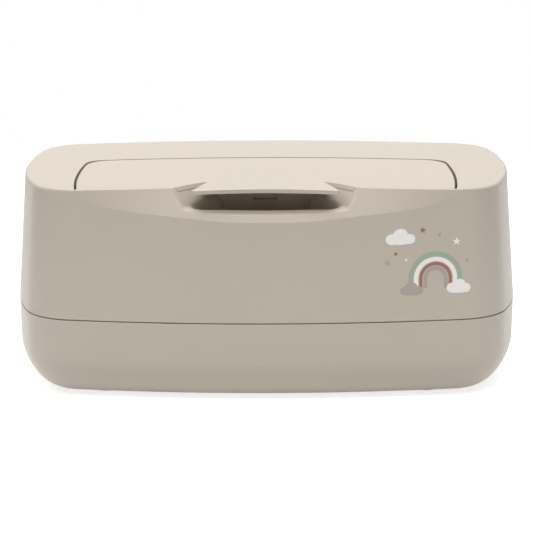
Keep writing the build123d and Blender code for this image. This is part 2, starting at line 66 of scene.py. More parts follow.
class Nodes:
    """A small helper that adds and links the nodes of one tree."""

    # places of the Mix node's sockets when it mixes colours
    MIX_FACTOR, MIX_FIRST_COLOUR, MIX_SECOND_COLOUR, MIXED_COLOUR = 0, 6, 7, 2

    def __init__(self, tree: bpy.types.NodeTree) -> None:
        """Keeps the tree that the nodes go into.

        Args:
            tree: a material's or a group's node tree.
        """
        self.tree = tree

    def add(self, kind: str, **settings: object) -> bpy.types.Node:
        """Adds a node and sets its properties and unlinked inputs.

        Args:
            kind: the node's type name.
            **settings: a property by its name, or an input by in_ and its name with _ for a space.

        Returns:
            The new node.
        """
        node = self.tree.nodes.new(kind)
        for key, value in settings.items():
            if key.startswith("in_"):
                node.inputs[key[3:].replace("_", " ")].default_value = value
            else:
                setattr(node, key, value)
        return node

    def link(self, source: bpy.types.NodeSocket, target: bpy.types.NodeSocket) -> None:
        """Links one socket to another."""
        self.tree.links.new(source, target)

    def feed(self, socket: bpy.types.NodeSocket, value: object) -> None:
        """Links a socket to another one, or sets its plain value.

        Args:
            socket: the socket to feed.
            value: another node's output, a number or a colour.
        """
        if isinstance(value, bpy.types.NodeSocket):
            self.link(value, socket)
        else:
            socket.default_value = value

    def math(self, operation: str, *values: object, clamp: bool = False) -> bpy.types.NodeSocket:
        """Adds a Math node over sockets or numbers.

        Args:
            operation: the node's operation.
            *values: the node's inputs, each a socket or a number.
            clamp: keeps the result between 0 and 1.

        Returns:
            The node's output.
        """
        node = self.add("ShaderNodeMath", operation=operation, use_clamp=clamp)
        for socket, value in zip(node.inputs, values):
            self.feed(socket, value)
        return node.outputs[0]

    def mix(self, factor: bpy.types.NodeSocket, first: object, second: object) -> bpy.types.NodeSocket:
        """Mixes two colours.

        Args:
            factor: the mask that chooses between them.
            first: the colour, or its socket, where the mask is 0.
            second: the colour, or its socket, where the mask is 1.

        Returns:
            The mixed colour.
        """
        node = self.add("ShaderNodeMix", data_type="RGBA")
        self.link(factor, node.inputs[self.MIX_FACTOR])
        self.feed(node.inputs[self.MIX_FIRST_COLOUR], first)
        self.feed(node.inputs[self.MIX_SECOND_COLOUR], second)
        return node.outputs[self.MIXED_COLOUR]

    def choose(
        self, factor: bpy.types.NodeSocket, first: bpy.types.NodeSocket, second: bpy.types.NodeSocket
    ) -> bpy.types.NodeSocket:
        """Mixes two shaders.

        Args:
            factor: the mask that chooses between them.
            first: the shader where the mask is 0.
            second: the shader where the mask is 1.

        Returns:
            The mixed shader.
        """
        node = self.add("ShaderNodeMixShader")
        for socket, source in zip(node.inputs, (factor, first, second)):
            self.link(source, socket)
        return node.outputs[0]

    def rays(self, *kinds: str) -> bpy.types.NodeSocket:
        """Tells some kinds of rays from all others.

        Args:
            *kinds: the kinds, by the names of Light Path's outputs.

        Returns:
            1 for rays of these kinds, otherwise 0.
        """
        path = self.add("ShaderNodeLightPath")
        found = path.outputs[kinds[0]]
        for kind in kinds[1:]:
            found = self.math("MAXIMUM", found, path.outputs[kind])
        return found

    def ramp(self, value: bpy.types.NodeSocket, low: float, high: float) -> bpy.types.NodeSocket:
        """Maps a value smoothly from between two limits to 0..1.

        Args:
            value: the socket to map.
            low: the value that gives 0.
            high: the value that gives 1.

        Returns:
            The mapped output.
        """
        node = self.add("ShaderNodeMapRange", interpolation_type="SMOOTHSTEP")
        self.feed(node.inputs["From Min"], low)
        self.feed(node.inputs["From Max"], high)
        self.link(value, node.inputs["Value"])
        return node.outputs["Result"]


def new_group(
    name: str, inputs: dict[str, float], outputs: tuple[str, ...]
) -> tuple[bpy.types.NodeTree, Nodes]:
    """Makes an empty shader node group of number sockets.

    Args:
        name: the group's name.
        inputs: each input's name and default number.
        outputs: each output's name.

    Returns:
        The group and a helper for its nodes.
    """
    tree = bpy.data.node_groups.new(name, "ShaderNodeTree")
    for label, default in inputs.items():
        socket = tree.interface.new_socket(label, in_out="INPUT", socket_type="NodeSocketFloat")
        socket.default_value = default
    for label in outputs:
        tree.interface.new_socket(label, in_out="OUTPUT", socket_type="NodeSocketFloat")
    return tree, Nodes(tree)


def new_material(name: str) -> tuple[bpy.types.Material, Nodes, bpy.types.NodeSocket]:
    """Makes a material that holds only its output node.

    Args:
        name: the material's name.

    Returns:
        The material, a helper for its nodes, and the socket that takes its shader.
    """
    material = bpy.data.materials.new(name)
    material.use_nodes = True
    material.node_tree.nodes.clear()
    nodes = Nodes(material.node_tree)
    return material, nodes, nodes.add("ShaderNodeOutputMaterial").inputs["Surface"]


@dataclass(frozen=True)
class MouldedGrain:
    """Fine spark-eroded grain of a moulded surface, with slow cloudy variation."""

    grain_scale: float = 2600.0
    grain_detail: float = 3.0
    grain_roughness: float = 0.6
    cloud_scale: float = 14.0
    cloud_detail: float = 4.0
    cloud_roughness: float = 0.55

    def build(self) -> bpy.types.NodeTree:
        """Builds the node group.

        Returns:
            The group: Height of the grain and a Cloud mask.
        """
        given_scales = {"Grain Scale": self.grain_scale, "Cloud Scale": self.cloud_scale}
        tree, nodes = new_group("moulded_grain", given_scales, ("Height", "Cloud"))
        given = nodes.add("NodeGroupInput")
        result = nodes.add("NodeGroupOutput")
        place = nodes.add("ShaderNodeTexCoord").outputs["Object"]
        noise = "ShaderNodeTexNoise"
        grain = nodes.add(noise, in_Detail=self.grain_detail, in_Roughness=self.grain_roughness)
        cloud = nodes.add(noise, in_Detail=self.cloud_detail, in_Roughness=self.cloud_roughness)
        for texture, scale, mask in ((grain, "Grain Scale", "Height"), (cloud, "Cloud Scale", "Cloud")):
            nodes.link(place, texture.inputs["Vector"])
            nodes.link(given.outputs[scale], texture.inputs["Scale"])
            nodes.link(texture.outputs["Fac"], result.inputs[mask])
        return tree


@dataclass(frozen=True)
class HandlingWear:
    """Handling wear: polished edges, from the marks on the faces, and faint rubbed streaks."""

    edge_amount: float = 1.0
    edge_break_scale: float = 180.0
    edge_break_detail: float = 3.0
    edge_break_range: tuple[float, float] = (0.3, 0.62)
    rub_scale: float = 60.0
    rub_detail: float = 5.0
    rub_roughness: float = 0.65
    rub_distortion: float = 0.6
    rub_stretch: Triple = (1.0, 1.0, 7.0)
    rub_turn: Triple = (0.3, 0.2, 0.5)
    rub_range: tuple[float, float] = (0.55, 0.8)

    def build(self) -> bpy.types.NodeTree:
        """Builds the node group.

        Returns:
            The group: Edge and Rub masks.
        """
        amounts = {"Edge Amount": self.edge_amount, "Rub Scale": self.rub_scale}
        tree, nodes = new_group("handling_wear", amounts, ("Edge", "Rub"))
        given = nodes.add("NodeGroupInput")
        result = nodes.add("NodeGroupOutput")
        place = nodes.add("ShaderNodeTexCoord").outputs["Object"]

        marked = nodes.add("ShaderNodeAttribute", attribute_name=WEAR_MARK).outputs["Fac"]
        broken = nodes.add(
            "ShaderNodeTexNoise", in_Scale=self.edge_break_scale, in_Detail=self.edge_break_detail
        )
        nodes.link(place, broken.inputs["Vector"])
        edge = nodes.math("MULTIPLY", marked, nodes.ramp(broken.outputs["Fac"], *self.edge_break_range))
        edge = nodes.math("MULTIPLY", edge, given.outputs["Edge Amount"], clamp=True)
        nodes.link(edge, result.inputs["Edge"])

        streaks = nodes.add("ShaderNodeMapping", in_Scale=self.rub_stretch, in_Rotation=self.rub_turn)
        nodes.link(place, streaks.inputs["Vector"])
        rub = nodes.add(
            "ShaderNodeTexNoise", in_Detail=self.rub_detail, in_Roughness=self.rub_roughness,
            in_Distortion=self.rub_distortion,
        )
        nodes.link(streaks.outputs["Vector"], rub.inputs["Vector"])
        nodes.link(given.outputs["Rub Scale"], rub.inputs["Scale"])
        nodes.link(nodes.ramp(rub.outputs["Fac"], *self.rub_range), result.inputs["Rub"])
        return tree


def srgb(red: int, green: int, blue: int) -> Colour:
    """Turns 0..255 screen values into a linear colour by the sRGB curve.

    Args:
        red: the red value.
        green: the green value.
        blue: the blue value.

    Returns:
        The linear colour.
    """
    linear = []
    for value in (red, green, blue):
        share = value / 255
        linear.append(share / 12.92 if value <= 10 else ((share + 0.055) / 1.055) ** 2.4)
    return (*linear, 1.0)


def scaled(colour: Colour, factor: float) -> Colour:
    """Gives a colour lightened or darkened by a factor, no channel above 1."""
    return (*(min(1.0, channel * factor) for channel in colour[:3]), 1.0)


@dataclass(frozen=True)
class Finish:
    """A moulded or soft finish: colour, gloss and fine grain, with variation and wear."""

    name: str
    colour: Colour
    roughness: float = 0.5
    roughness_spread: float = 0.08
    variation: float = 0.03
    grain_scale: float = 2600.0
    grain_height: float = 0.012 * MM
    bump: float = 0.25
    rub_change: float = 0.06
    edge_light: float = 0.08
    specular: float = 0.5
    subsurface: float = 0.0
    subsurface_radius: Triple = (0.004, 0.003, 0.002)

    def make(self, groups: "Groups") -> bpy.types.Material:
        """Builds the finish as a node material.

        Args:
            groups: the shared node groups.

        Returns:
            The material.
        """
        material, nodes, surface = new_material(self.name)
        shader = nodes.add(
            "ShaderNodeBsdfPrincipled", in_Specular_IOR_Level=self.specular,
            in_Subsurface_Weight=self.subsurface, in_Subsurface_Radius=self.subsurface_radius,
        )
        nodes.link(shader.outputs[0], surface)
        grain = nodes.add("ShaderNodeGroup", node_tree=groups.grain, in_Grain_Scale=self.grain_scale)
        wear = nodes.add("ShaderNodeGroup", node_tree=groups.wear)

        dark, light = (scaled(self.colour, 1 + change) for change in (-self.variation, self.variation))
        worn = (*(channel + (1 - channel) * self.edge_light for channel in self.colour[:3]), 1.0)
        clouded = nodes.mix(grain.outputs["Cloud"], dark, light)
        nodes.link(nodes.mix(wear.outputs["Edge"], clouded, worn), shader.inputs["Base Color"])

        least = self.roughness - self.roughness_spread / 2
        rough = nodes.math("MULTIPLY_ADD", grain.outputs["Cloud"], self.roughness_spread, least)
        rubbed = nodes.math("MULTIPLY", wear.outputs["Rub"], self.rub_change)
        nodes.link(nodes.math("SUBTRACT", rough, rubbed, clamp=True), shader.inputs["Roughness"])

        bump = nodes.add("ShaderNodeBump", in_Strength=self.bump, in_Distance=self.grain_height)
        nodes.link(grain.outputs["Height"], bump.inputs["Height"])
        nodes.link(bump.outputs["Normal"], shader.inputs["Normal"])
        return material


@dataclass(frozen=True)
class Steel:
    """Drawn steel with fine lengthwise lines."""

    name: str = "drawn_steel"
    colour: Colour = (0.56, 0.56, 0.57, 1.0)
    line_shade: float = 0.88
    line_scales: Triple = (60.0, 4000.0, 4000.0)
    line_detail: float = 4.0
    line_height: float = 0.01 * MM
    bump: float = 0.2
    roughness: float = 0.28
    roughness_spread: float = 0.18
    rub_change: float = 0.12

    def make(self, groups: "Groups") -> bpy.types.Material:
        """Builds the steel as a node material.

        Args:
            groups: the shared node groups.

        Returns:
            The material.
        """
        material, nodes, surface = new_material(self.name)
        shader = nodes.add("ShaderNodeBsdfPrincipled", in_Metallic=1.0)
        nodes.link(shader.outputs[0], surface)
        wear = nodes.add("ShaderNodeGroup", node_tree=groups.wear)
        drawn = nodes.add("ShaderNodeMapping", in_Scale=self.line_scales)
        lines = nodes.add("ShaderNodeTexNoise", in_Scale=1.0, in_Detail=self.line_detail)
        nodes.link(nodes.add("ShaderNodeTexCoord").outputs["Object"], drawn.inputs["Vector"])
        nodes.link(drawn.outputs["Vector"], lines.inputs["Vector"])

        lined = nodes.mix(lines.outputs["Fac"], scaled(self.colour, self.line_shade), self.colour)
        nodes.link(lined, shader.inputs["Base Color"])

        least = self.roughness - self.roughness_spread / 2
        rough = nodes.math("MULTIPLY_ADD", lines.outputs["Fac"], self.roughness_spread, least)
        rubbed = nodes.math("MULTIPLY", wear.outputs["Rub"], self.rub_change)
        nodes.link(nodes.math("ADD", rough, rubbed, clamp=True), shader.inputs["Roughness"])

        bump = nodes.add("ShaderNodeBump", in_Strength=self.bump, in_Distance=self.line_height)
        nodes.link(lines.outputs["Fac"], bump.inputs["Height"])
        nodes.link(bump.outputs["Normal"], shader.inputs["Normal"])
        return material


@dataclass
class Groups:
    """The shared node groups."""

    grain: bpy.types.NodeTree = field(default_factory=MouldedGrain().build)
    wear: bpy.types.NodeTree = field(default_factory=HandlingWear().build)


SAND = srgb(195, 185, 171)
IVORY = srgb(226, 222, 214)
TAUPE = srgb(176, 168, 157)
PAD_GREY = srgb(122, 116, 109)


class Palette:
    """All finishes of the box, each built once."""

    def __init__(self) -> None:
        """Builds the node groups and the materials."""
        groups = Groups()
        self.shell = Finish("sand_plastic", SAND, roughness=0.44, specular=0.65).make(groups)
        self.inner = Finish("ivory_plastic", IVORY, roughness=0.42).make(groups)
        self.silicone = Finish(
            "soft_silicone", TAUPE, roughness=0.62, grain_scale=1500.0, subsurface=0.15
        ).make(groups)
        self.rubber = Finish("pad_rubber", PAD_GREY, roughness=0.8, grain_scale=900.0, bump=0.5).make(groups)
        self.steel = Steel().make(groups)
        self.inks = {ink: ink.finish().make(groups) for ink in Ink}


class Ink(Enum):
    """Inks of the printed picture, by screen colour."""

    CREAM = (249, 246, 241)
    SAGE = (160, 179, 158)
    CLAY = (163, 110, 97)
    MAUVE = (178, 167, 159)

    def finish(self) -> Finish:
        """Gives the ink's printed finish."""
        return Finish(
            "ink_" + self.name.lower(), srgb(*self.value), roughness=0.5, variation=0.05, grain_scale=3200.0,
            grain_height=0.008 * MM, edge_light=0.0,
        )


# ---- mesh helpers


def new_piece(
    name: str, form: bmesh.types.BMesh, material: bpy.types.Material, body: Body
) -> bpy.types.Object:
    """Makes an object of a finished bmesh and lets it ride on a body.

    Args:
        name: the piece's name.
        form: the bmesh, which is freed.
        material: its finish.
        body: the body it moves with.

    Returns:
        The new object.
    """
    mesh = bpy.data.meshes.new(name)
    form.to_mesh(mesh)
    form.free()
    mesh.materials.append(material)
    piece = bpy.data.objects.new(name, mesh)
    bpy.context.scene.collection.objects.link(piece)
    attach(piece, body.value)
    log.info("piece %s: %d faces", name, len(mesh.polygons))
    return piece


def paint_node(node: str, material: bpy.types.Material) -> None:
    """Gives a CAD node a better material in all its slots.

    Args:
        node: the node's name.
        material: the finish.
    """
    for material_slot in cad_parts[node].material_slots:
        material_slot.material = material
    log.info("node %s: %s", node, material.name)


def turn_of(edge: bmesh.types.BMEdge) -> float:
    """Gives the angle between an edge's two faces, in degrees, or 0 on an open edge."""
    return math.degrees(edge.calc_face_angle(0.0)) if edge.is_manifold else 0.0


def round_edges(form: bmesh.types.BMesh, edges: list[bmesh.types.BMEdge], rim: "Rounding") -> None:
    """Bevels edges round, chain by chain, and marks the new faces as worn.

    Args:
        form: the bmesh.
        edges: the edges to round.
        rim: the rounding.
    """
    worn = form.faces.layers.float[WEAR_MARK]
    for chain in chains_of(edges):
        made = bmesh.ops.bevel(
            form, geom=chain, offset=rim.width, offset_type="OFFSET", segments=rim.steps, profile=0.5,
            affect="EDGES", clamp_overlap=rim.clamped, material=-1,
        )
        for face in made["faces"]:
            face[worn] = rim.wear


def chains_of(edges: list[bmesh.types.BMEdge]) -> list[list[bmesh.types.BMEdge]]:
    """Sorts edges into groups that hang together, so that one short edge narrows only its own group.

    Args:
        edges: the edges.

    Returns:
        The groups, in the order of their first edges.
    """
    wanted = set(edges)
    chains = []
    for first in edges:
        if first not in wanted:
            continue
        wanted.remove(first)
        chain = [first]
        for edge in chain:
            for vert in edge.verts:
                for other in vert.link_edges:
                    if other in wanted:
                        wanted.remove(other)
                        chain.append(other)
        chains.append(chain)
    return chains


@dataclass(frozen=True)
class PlanCurve:
    """The box's plan: two long arcs, two end arcs and four corner arcs, in one quarter of the plan.

    The centres lie as seen from that quarter, where x and y are positive. The radii are the cover's, at its
    lower edge.
    """

    side_centre_y: float = -479.0 * MM
    side_radius: float = 544.0 * MM
    end_centre_x: float = -14.0 * MM
    corner_x: float = 87.97 * MM
    corner_y: float = 31.07 * MM
    corner_radius: float = 26.4 * MM

    def front_y(self, x: float, inset: float) -> float:
        """Gives the depth of the front on its right half.

        Args:
            x: place across, in metres.
            inset: how far the draft has brought the wall in, in metres.

        Returns:
            The wall's y.
        """
        change = self.corner_x * (1 + (self.corner_radius - inset) / (self.side_radius - self.corner_radius))
        if x < change:
            return -self.side_centre_y - math.sqrt((self.side_radius - inset) ** 2 - x**2)
        return -self.corner_y - math.sqrt((self.corner_radius - inset) ** 2 - (x - self.corner_x) ** 2)

    def outward(self, x: float, y: float) -> Vector:
        """Gives the level direction that leaves the wall at a place.

        Args:
            x: place across, in metres.
            y: place in depth, in metres.

        Returns:
            The direction, of length 1.
        """
        across, deep = abs(x), abs(y)
        if across * (self.corner_y - self.side_centre_y) < self.corner_x * (deep - self.side_centre_y):
            way = Vector((across, deep - self.side_centre_y, 0.0))
        elif deep * (self.corner_x - self.end_centre_x) < self.corner_y * (across - self.end_centre_x):
            way = Vector((across - self.end_centre_x, deep, 0.0))
        else:
            way = Vector((across - self.corner_x, deep - self.corner_y, 0.0))
        way.x = math.copysign(way.x, x)
        way.y = math.copysign(way.y, y)
        return way.normalized()


class EvenNormals:
    """Gives each corner of a rounded mesh the normal of the surface that its faces stand for."""

    BLEND_TURN = 26.0  # degrees up to which faces blend into each other
    WALL_TURN = 5.0  # degrees up to which an upright face counts as wall
    WALL_RISE = 0.2  # most that a wall's normal rises or falls
    LEAST_FACING = 0.1  # least that a neighbour's normal agrees with a face's own

    def __init__(self, mesh: bpy.types.Mesh, plan: PlanCurve) -> None:
        """Reads the mesh.

        Args:
            mesh: the mesh, with its wear marks.
            plan: the plan that its walls follow.
        """
        self.mesh = mesh
        self.plan = plan
        self.blend = math.cos(math.radians(self.BLEND_TURN))
        self.wall_match = math.cos(math.radians(self.WALL_TURN))
        self.marks = [0.0] * len(mesh.polygons)
        mesh.attributes[WEAR_MARK].data.foreach_get("value", self.marks)
        self.flats = [face.normal.copy() for face in mesh.polygons]
        self.walls = [self.is_wall(face) for face in mesh.polygons]
        self.around: list[list[tuple[int, float]]] = [[] for _ in mesh.vertices]
        for face in mesh.polygons:
            places = [mesh.vertices[index].co for index in face.vertices]
            for spot, index in enumerate(face.vertices):
                before = places[spot - 1] - places[spot]
                after = places[(spot + 1) % len(places)] - places[spot]
                if before.length > 0 and after.length > 0:
                    self.around[index].append((face.index, before.angle(after)))

    def is_wall(self, face: bpy.types.MeshPolygon) -> bool:
        """Says whether a face belongs to an upright wall that follows the plan.

        Args:
            face: the face to test.

        Returns:
            True if it does.
        """
        if abs(face.normal.z) > self.WALL_RISE:
            return False
        level = Vector((face.normal.x, face.normal.y, 0.0)).normalized()
        return abs(level.dot(self.plan.outward(face.center.x, face.center.y))) > self.wall_match

    def of_face(self, face: int, vertex: int, among: list[tuple[int, float]]) -> Vector:
        """Gives the normal of a face's surface at one of its corners.

        Args:
            face: the face's index.
            vertex: the corner's vertex.
            among: the faces there that may blend, each with its angle.

        Returns:
            The normal.
        """
        lead = self.flats[face]
        if self.walls[face]:
            place = self.mesh.vertices[vertex].co
            way = self.plan.outward(place.x, place.y)
            level = way * math.copysign(math.sqrt(1 - lead.z**2), way.dot(lead))
            return (level + Vector((0, 0, lead.z))).normalized()
        near = [(other, angle) for other, angle in among if self.flats[other].dot(lead) > self.blend]
        total = sum((self.flats[other] * angle for other, angle in near), Vector((0.0, 0.0, 0.0)))
        return total.normalized() if total.length > 0 else lead

    def likeness(self, other: int, face: bpy.types.MeshPolygon) -> float:
        """Gives how far one face's normal agrees with another's: 1 for the same, 0 for square."""
        return self.flats[other].dot(face.normal)

    def lay(self) -> None:
        """Sets the normals of all corners; roundings take those of the broad faces beside them."""
        corners = [Vector((0.0, 0.0, 1.0))] * len(self.mesh.loops)
        for face in self.mesh.polygons:
            for corner, index in zip(face.loop_indices, face.vertices):
                near = self.around[index]
                facing = [pair for pair in near if self.likeness(pair[0], face) > self.LEAST_FACING]
                broad = [pair for pair in facing if self.marks[pair[0]] == 0]
                lead = face.index
                if self.marks[face.index] > 0 and broad:
                    lead = max((other for other, _ in broad), key=lambda other: self.likeness(other, face))
                corners[corner] = self.of_face(lead, index, broad or facing)
        self.mesh.normals_split_custom_set(corners)


class Beside(Enum):
    """Faces that an edge has to lie beside to get a rounding."""

    ANY = "any faces"
    SLOPE = "a face that slopes down to the front, and not the front wall"
    SLOPE_AND_WALL = "a face that slopes down to the front, and the front wall"


@dataclass(frozen=True)
class Rounding:
    """A rounding of edges: all that turn enough, or only those beside some faces that lie in a box.

    The box's corners are in millimetres. Wear is the mark that the new faces get.
    """

    width: float
    steps: int = 3
    least_turn: float = 24.0
    low: Triple = (-1000.0, -1000.0, -1000.0)
    high: Triple = (1000.0, 1000.0, 1000.0)
    beside: Beside = Beside.ANY
    clamped: bool = True
    wear: float = 1.0
    front_facing: float = -0.2
    wall_rise: float = 0.12
    slope_rise: tuple[float, float] = (0.3, 0.93)

    def holds(self, edge: bmesh.types.BMEdge) -> bool:
        """Says whether an edge gets this rounding.

        Args:
            edge: the edge to test.

        Returns:
            True if it turns enough, both its ends lie in the box and its faces are those asked for.
        """
        if turn_of(edge) <= self.least_turn:
            return False
        ends = [vert.co / MM for vert in edge.verts]
        if not all(self.low[i] <= end[i] <= self.high[i] for end in ends for i in range(3)):
            return False
        if self.beside is Beside.ANY:
            return True
        rises = [face.normal.z for face in edge.link_faces if face.normal.y < self.front_facing]
        walled = any(abs(rise) < self.wall_rise for rise in rises)
        sloping = any(self.slope_rise[0] < rise < self.slope_rise[1] for rise in rises)
        return sloping and walled == (self.beside is Beside.SLOPE_AND_WALL)


MERGE_GAP = 0.002 * MM  # distance within which a CAD mesh's corners are one
MERGE_TURN = 0.05  # degrees up to which its triangles make one face
TINY_GAP = 0.001 * MM  # distance within which corners are one after an operator
SLIVER = 0.004 * MM  # edges below this are closed up after rounding
ACROSS, DEEP = (1.0, 0.0, 0.0), (0.0, 1.0, 0.0)

# planes that broad faces are split along, each by a place on it and the direction across it
SPLITS = (
    ((0.0, 0.0, 0.0), DEEP),
    ((0.0, 0.0, 0.0), ACROSS),
    ((60.3 * MM, 0.0, 0.0), ACROSS),
    ((-60.3 * MM, 0.0, 0.0), ACROSS),
)


def merged_copy(node: str) -> bmesh.types.BMesh:
    """Copies a CAD node's mesh and merges its triangles into broad faces, split so that none is a ring.

    Args:
        node: the node's name.

    Returns:
        The copy as a bmesh.
    """
    form = bmesh.new()
    form.from_mesh(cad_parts[node].data)
    bmesh.ops.remove_doubles(form, verts=form.verts, dist=MERGE_GAP)
    bmesh.ops.dissolve_degenerate(form, edges=form.edges, dist=MERGE_GAP)
    bmesh.ops.dissolve_limit(form, angle_limit=math.radians(MERGE_TURN), verts=form.verts, edges=form.edges)
    for place, way in SPLITS:
        whole = form.verts[:] + form.edges[:] + form.faces[:]
        bmesh.ops.bisect_plane(form, geom=whole, dist=TINY_GAP, plane_co=place, plane_no=way)
    return form


def rounded_piece(
    form: bmesh.types.BMesh,
    node: str,
    name: str,
    roundings: tuple[Rounding, ...],
    material: bpy.types.Material,
    body: Body,
) -> bpy.types.Object:
    """Rounds a merged copy's edges as a mould does and puts it in its node's place.

    Args:
        form: the merged copy, which is freed.
        node: the node that the piece replaces.
        name: the piece's name.
        roundings: the roundings, in order; an edge beside an earlier one stays.
        material: its finish.
        body: the body it rides on.

    Returns:
        The new piece.
    """
    worn = form.faces.layers.float.new(WEAR_MARK)
    for rim in roundings:
        fresh = [edge for edge in form.edges if not any(face[worn] for face in edge.link_faces)]
        round_edges(form, [edge for edge in fresh if rim.holds(edge)], rim)
    bmesh.ops.remove_doubles(form, verts=form.verts, dist=SLIVER)
    bmesh.ops.dissolve_degenerate(form, edges=form.edges, dist=SLIVER)
    for face in form.faces:
        face.smooth = True
    piece = new_piece(name, form, material, body)
    EvenNormals(piece.data, PlanCurve()).lay()
    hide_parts(node)
    return piece


def eased(value: float, start: float, end: float) -> float:
    """Falls smoothly from 1 at start to 0 at end."""
    share = min(1.0, max(0.0, (end - value) / (end - start)))
    return share * share * (3 - 2 * share)


# ---- sub-assemblies


@dataclass
class Tray:
    """The tray with its seal and its four pads."""

    rounding: Rounding = Rounding(0.3 * MM)

    def build(self, palette: Palette) -> None:
        """Dresses the tray's pieces.

        Args:
            palette: the finishes.
        """
        rounded_piece(
            merged_copy("base_tray"), "base_tray", "tray_shell", (self.rounding,), palette.shell, Body.TRAY,
        )
        paint_node("tray_seal", palette.silicone)
        paint_node("foot_pads", palette.rubber)


@dataclass
class Cover:
    """The cover with its insert and hinge pins."""

    rounding: Rounding = Rounding(0.35 * MM)
    scoop_rim: Rounding = Rounding(
        1.2 * MM, steps=5, least_turn=16.0, low=(-52.0, -67.0, 82.0), high=(52.0, -49.0, 100.6),
        beside=Beside.SLOPE, clamped=False, wear=0.6,
    )
    facet_crease: Rounding = Rounding(
        0.4 * MM, least_turn=7.0, low=(-112.0, -67.0, 84.0), high=(112.0, -18.0, 100.6),
        beside=Beside.SLOPE_AND_WALL, wear=0.2,
    )
    lip_setback: float = 3.4 * MM
    lip_near_y: float = -53.1 * MM
    lip_far_y: float = -44.4 * MM
    lip_low_z: float = 79.0 * MM
    lip_ease_z: tuple[float, float] = (90.8 * MM, 93.5 * MM)
    lip_ease_x: tuple[float, float] = (23.0 * MM, 34.0 * MM)

    def set_lip_back(self, form: bmesh.types.BMesh) -> None:
        """Sets the scoop's level lip back, less at its ends.

        Args:
            form: the cover's merged copy.
        """
        moving = []
        for vert in form.verts:
            if self.lip_near_y <= vert.co.y <= self.lip_far_y and vert.co.z > self.lip_low_z:
                share = eased(abs(vert.co.x), *self.lip_ease_x) * eased(vert.co.z, *self.lip_ease_z)
                if share > 0:
                    moving.append((vert, self.lip_setback * share))
        touched = {face for vert, _ in moving for face in vert.link_faces}
        bmesh.ops.triangulate(form, faces=[face for face in form.faces if face in touched])
        for vert, setback in moving:
            vert.co.y += setback

    def build(self, palette: Palette) -> None:
        """Dresses the cover's pieces.

        Args:
            palette: the finishes.
        """
        form = merged_copy("top_cover")
        self.set_lip_back(form)
        roundings = (self.scoop_rim, self.facet_crease, self.rounding)
        rounded_piece(
            form, "top_cover", "cover_shell", roundings, palette.shell, Body.COVER
        )
        paint_node("slot_insert", palette.silicone)
        for side in ("left", "right"):
            paint_node("hinge_pin_" + side, palette.steel)


@dataclass
class FlipLid:
    """The flip lid with its seal carrier and seal."""

    rounding: Rounding = Rounding(0.25 * MM)

    def build(self, palette: Palette) -> None:
        """Dresses the lid's pieces.

        Args:
            palette: the finishes.
        """
        rounded_piece(
            merged_copy("lid"), "lid", "lid_shell", (self.rounding,), palette.shell, Body.LID
        )
        paint_node("lid_panel", palette.inner)
        paint_node("lid_seal", palette.silicone)


@dataclass
class PressPlate:
    """The press plate, its weights and its cap."""

    def build(self, palette: Palette) -> None:
        """Dresses the press plate's pieces.

        Args:
            palette: the finishes.
        """
        paint_node("press_plate", palette.inner)
        paint_node("plate_weights", palette.steel)
        paint_node("plate_cap", palette.inner)


